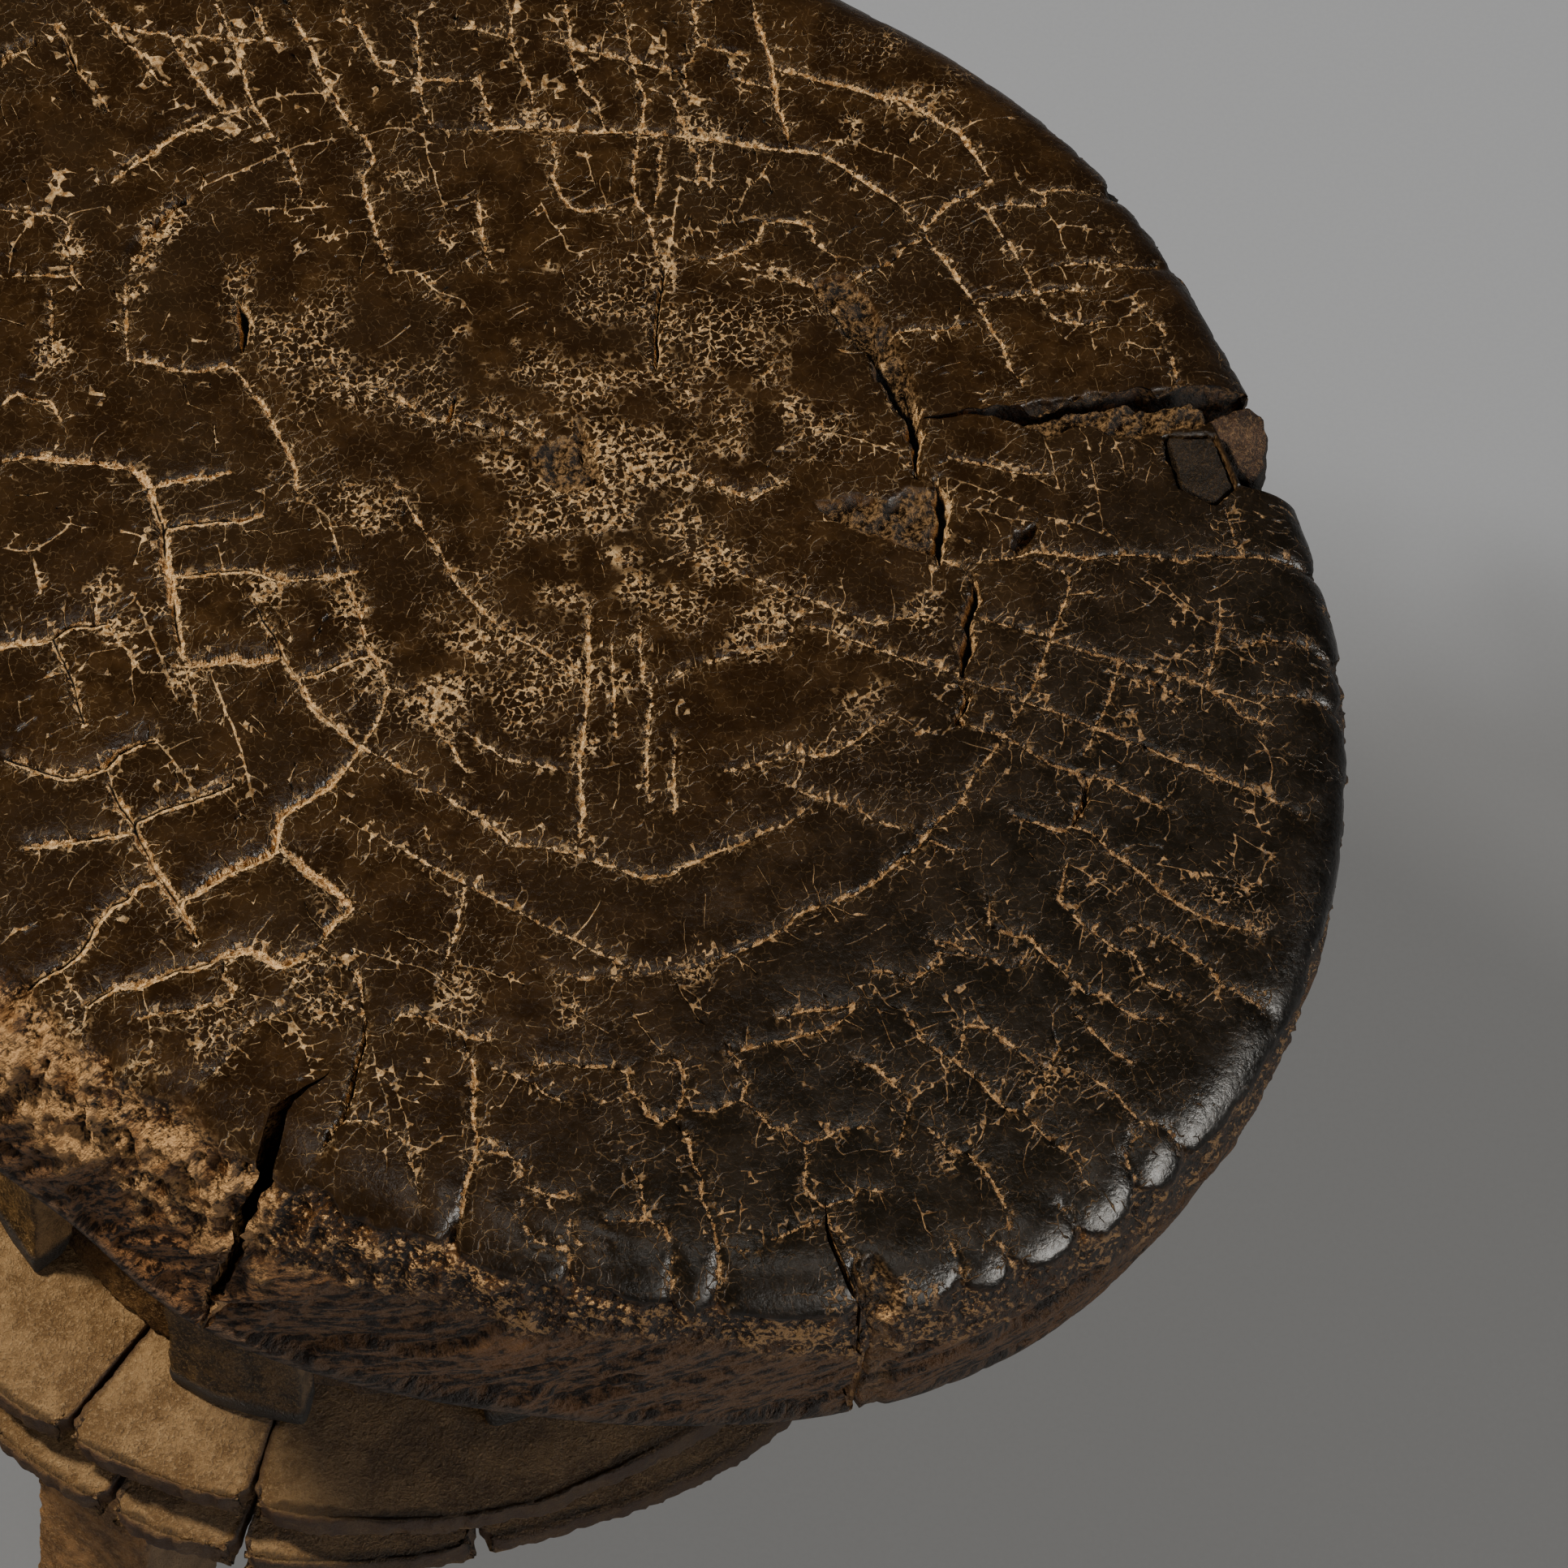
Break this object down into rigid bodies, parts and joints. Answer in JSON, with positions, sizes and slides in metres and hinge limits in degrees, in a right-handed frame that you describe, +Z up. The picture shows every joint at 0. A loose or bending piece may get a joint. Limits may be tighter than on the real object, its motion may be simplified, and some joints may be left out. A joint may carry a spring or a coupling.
{
  "type": "carved wooden stool",
  "caption": "Old carved log stool: thick cracked oval seat on a ribbed drum, with two thin cracked collars and three short square legs that lean outwards.",
  "frame": {"origin": "middle of the stool's box, on the ground that the legs stand on", "axes": "+Z up, -Y the front that the picture shows, +X its right"},
  "size_m": [0.3383, 0.3582, 0.33],
  "materials": {
    "seat_wood": "hand-polished dark brown end grain with tan dust in its cracks",
    "bowl_wood": "dull adzed dark brown",
    "drum_wood": "dull carved brown",
    "rib_wood": "worn brown with dust",
    "collar_wood": "dusty dry tan",
    "leg_wood": "dusty worn tan brown"
  },
  "bodies": {
    "root": {"seat_heart": "seat_wood", "seat_wedge_right": "seat_wood", "seat_block_back_right": "seat_wood", "seat_block_back": "seat_wood", "seat_block_back_left": "seat_wood", "seat_block_left": "seat_wood", "seat_block_front": "seat_wood", "seat_block_front_right": "seat_wood", "rim_chip": "seat_wood", "rim_nub": "seat_wood", "seat_bowl": "bowl_wood", "upper_drum": "drum_wood", "upper_rib_1": "rib_wood", "upper_rib_2": "rib_wood", "upper_rib_3": "rib_wood", "upper_rib_4": "rib_wood", "upper_rib_5": "rib_wood", "upper_rib_6": "rib_wood", "upper_rib_7": "rib_wood", "upper_rib_8": "rib_wood", "upper_rib_9": "rib_wood", "upper_collar_front": "collar_wood", "upper_collar_right": "collar_wood", "upper_collar_back": "collar_wood", "upper_collar_left": "collar_wood", "upper_collar_front_left": "collar_wood", "collar_groove": "drum_wood", "lower_collar_front": "collar_wood", "lower_collar_front_right": "collar_wood", "lower_collar_right": "collar_wood", "lower_collar_back": "collar_wood", "lower_collar_left": "collar_wood", "lower_drum": "drum_wood", "leg_1": "leg_wood", "leg_2": "leg_wood", "leg_3": "leg_wood"}
  },
  "joints": []
}
